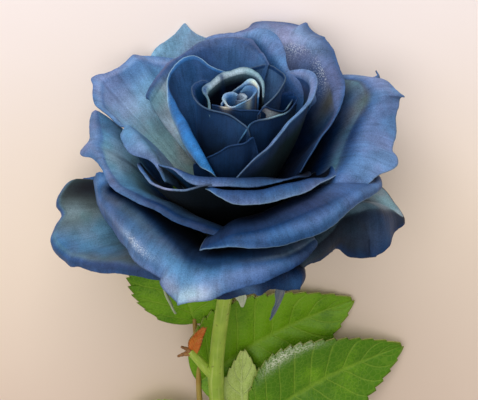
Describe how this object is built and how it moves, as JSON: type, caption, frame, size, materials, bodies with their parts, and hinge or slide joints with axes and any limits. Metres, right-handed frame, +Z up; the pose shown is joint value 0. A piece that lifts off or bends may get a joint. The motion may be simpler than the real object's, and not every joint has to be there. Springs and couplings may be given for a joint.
{
  "type": "rose",
  "caption": "Cut rose lying on its side: an open bloom of rolled, layered petals on a green calyx with folded sepals, a prickly stem and toothed compound leaves.",
  "frame": {"origin": "middle of the bottom of the bounding box of the rose as it lies on a table", "axes": "+Y along the stem towards the flower, +Z up from the table, +X to the right as seen from above with the flower at the top"},
  "size_m": [0.1088, 0.2418, 0.0793],
  "materials": {
    "petals": "soft, slightly velvety petal with a faint sheen on the rolled rims, violet blue to teal",
    "calyx": "matt pale green",
    "stem": "smooth yellow-green bark, slightly waxy",
    "leaves": "glossy mid-green upper side, reddish-brown toothed edge",
    "shoot": "green stub with dry brown tips and an orange-red young leaf"
  },
  "bodies": {
    "root": {"bloom": "petals", "calyx": "calyx", "stem": "stem", "leaf_upper": "leaves", "leaf_lower": "leaves", "side_shoot": "shoot"}
  },
  "joints": []
}
